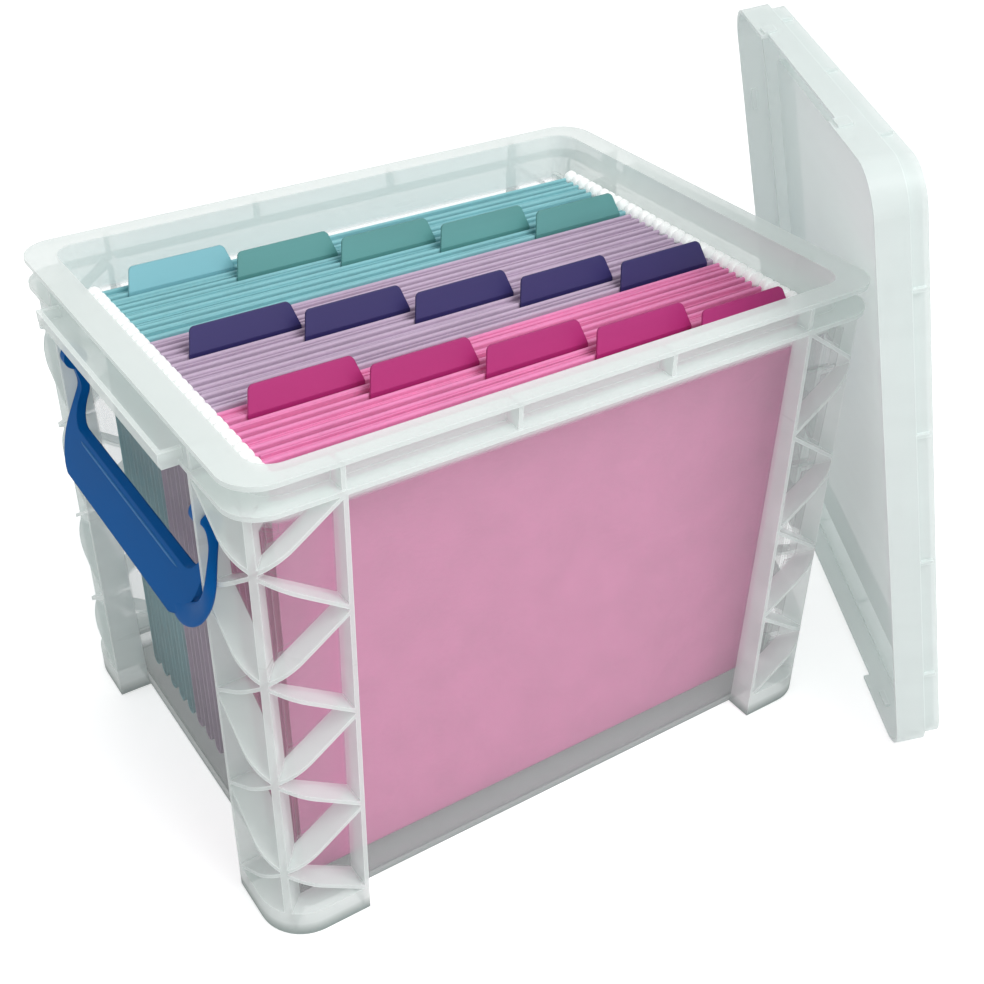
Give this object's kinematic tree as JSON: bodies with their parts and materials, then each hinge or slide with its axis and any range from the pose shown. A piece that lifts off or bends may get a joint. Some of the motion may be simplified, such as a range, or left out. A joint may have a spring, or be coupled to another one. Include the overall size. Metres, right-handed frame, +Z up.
{
  "type": "portable file box",
  "caption": "Moulded file tub with ribbed corner columns, bail handles, a lift-off lid leaning on it, and hanging folders with index tabs.",
  "frame": {"origin": "on the floor at the middle of the tub's footprint", "axes": "+X along the tub's long side, +Y to its back, +Z up"},
  "size_m": [0.5178, 0.347, 0.3582],
  "materials": {
    "clear_plastic": "translucent moulded plastic, satin",
    "handle_blue": "smooth moulded plastic",
    "teal_card": "uncoated card",
    "lilac_card": "uncoated card",
    "pink_card": "uncoated card",
    "hanger_white": "white plastic strip",
    "teal_tab": "thin tinted plastic",
    "purple_tab": "thin tinted plastic",
    "magenta_tab": "thin tinted plastic"
  },
  "bodies": {
    "box": {"tub": "clear_plastic"},
    "lid": {"lid": "clear_plastic"},
    "left_handle": {"left_handle": "handle_blue"},
    "right_handle": {"right_handle": "handle_blue"},
    "teal_file_1": {"teal_folder_1": "teal_card", "teal_bars_1": "hanger_white", "teal_tab_1": "teal_tab"},
    "teal_file_2": {"teal_folder_2": "teal_card", "teal_bars_2": "hanger_white", "teal_tab_2": "teal_tab"},
    "teal_file_3": {"teal_folder_3": "teal_card", "teal_bars_3": "hanger_white", "teal_tab_3": "teal_tab"},
    "teal_file_4": {"teal_folder_4": "teal_card", "teal_bars_4": "hanger_white", "teal_tab_4": "teal_tab"},
    "teal_file_5": {"teal_folder_5": "teal_card", "teal_bars_5": "hanger_white", "teal_tab_5": "teal_tab"},
    "lilac_file_1": {"lilac_folder_1": "lilac_card", "lilac_bars_1": "hanger_white"},
    "lilac_file_2": {"lilac_folder_2": "lilac_card", "lilac_bars_2": "hanger_white", "purple_tab_1": "purple_tab"},
    "lilac_file_3": {"lilac_folder_3": "lilac_card", "lilac_bars_3": "hanger_white", "purple_tab_2": "purple_tab"},
    "lilac_file_4": {"lilac_folder_4": "lilac_card", "lilac_bars_4": "hanger_white", "purple_tab_3": "purple_tab"},
    "lilac_file_5": {"lilac_folder_5": "lilac_card", "lilac_bars_5": "hanger_white", "purple_tab_4": "purple_tab"},
    "lilac_file_6": {"lilac_folder_6": "lilac_card", "lilac_bars_6": "hanger_white", "purple_tab_5": "purple_tab"},
    "pink_file_1": {"pink_folder_1": "pink_card", "pink_bars_1": "hanger_white", "magenta_tab_1": "magenta_tab"},
    "pink_file_2": {"pink_folder_2": "pink_card", "pink_bars_2": "hanger_white", "magenta_tab_2": "magenta_tab"},
    "pink_file_3": {"pink_folder_3": "pink_card", "pink_bars_3": "hanger_white", "magenta_tab_3": "magenta_tab"},
    "pink_file_4": {"pink_folder_4": "pink_card", "pink_bars_4": "hanger_white", "magenta_tab_4": "magenta_tab"},
    "pink_file_5": {"pink_folder_5": "pink_card", "pink_bars_5": "hanger_white", "magenta_tab_5": "magenta_tab"}
  },
  "joints": [
    {"name": "left_handle_hinge", "type": "hinge", "parent": "box", "child": "left_handle", "pos_m": [-0.171, 0, 0.232], "axis": [0, 1, 0], "range_deg": [0, 120]},
    {"name": "right_handle_hinge", "type": "hinge", "parent": "box", "child": "right_handle", "pos_m": [0.171, 0, 0.232], "axis": [0, -1, 0], "range_deg": [0, 42]},
    {"name": "lid_lift", "type": "slide", "parent": "box", "child": "lid", "axis": [0, 0, 1], "range_m": [0, 0.3]},
    {"name": "teal_file_1_lift", "type": "slide", "parent": "box", "child": "teal_file_1", "axis": [0, 0, 1], "range_m": [0, 0.25]},
    {"name": "teal_file_2_lift", "type": "slide", "parent": "box", "child": "teal_file_2", "axis": [0, 0, 1], "range_m": [0, 0.25]},
    {"name": "teal_file_3_lift", "type": "slide", "parent": "box", "child": "teal_file_3", "axis": [0, 0, 1], "range_m": [0, 0.25]},
    {"name": "teal_file_4_lift", "type": "slide", "parent": "box", "child": "teal_file_4", "axis": [0, 0, 1], "range_m": [0, 0.25]},
    {"name": "teal_file_5_lift", "type": "slide", "parent": "box", "child": "teal_file_5", "axis": [0, 0, 1], "range_m": [0, 0.25]},
    {"name": "lilac_file_1_lift", "type": "slide", "parent": "box", "child": "lilac_file_1", "axis": [0, 0, 1], "range_m": [0, 0.25]},
    {"name": "lilac_file_2_lift", "type": "slide", "parent": "box", "child": "lilac_file_2", "axis": [0, 0, 1], "range_m": [0, 0.25]},
    {"name": "lilac_file_3_lift", "type": "slide", "parent": "box", "child": "lilac_file_3", "axis": [0, 0, 1], "range_m": [0, 0.25]},
    {"name": "lilac_file_4_lift", "type": "slide", "parent": "box", "child": "lilac_file_4", "axis": [0, 0, 1], "range_m": [0, 0.25]},
    {"name": "lilac_file_5_lift", "type": "slide", "parent": "box", "child": "lilac_file_5", "axis": [0, 0, 1], "range_m": [0, 0.25]},
    {"name": "lilac_file_6_lift", "type": "slide", "parent": "box", "child": "lilac_file_6", "axis": [0, 0, 1], "range_m": [0, 0.25]},
    {"name": "pink_file_1_lift", "type": "slide", "parent": "box", "child": "pink_file_1", "axis": [0, 0, 1], "range_m": [0, 0.25]},
    {"name": "pink_file_2_lift", "type": "slide", "parent": "box", "child": "pink_file_2", "axis": [0, 0, 1], "range_m": [0, 0.25]},
    {"name": "pink_file_3_lift", "type": "slide", "parent": "box", "child": "pink_file_3", "axis": [0, 0, 1], "range_m": [0, 0.25]},
    {"name": "pink_file_4_lift", "type": "slide", "parent": "box", "child": "pink_file_4", "axis": [0, 0, 1], "range_m": [0, 0.085]},
    {"name": "pink_file_5_lift", "type": "slide", "parent": "box", "child": "pink_file_5", "axis": [0, 0, 1], "range_m": [0, 0.08]}
  ]
}
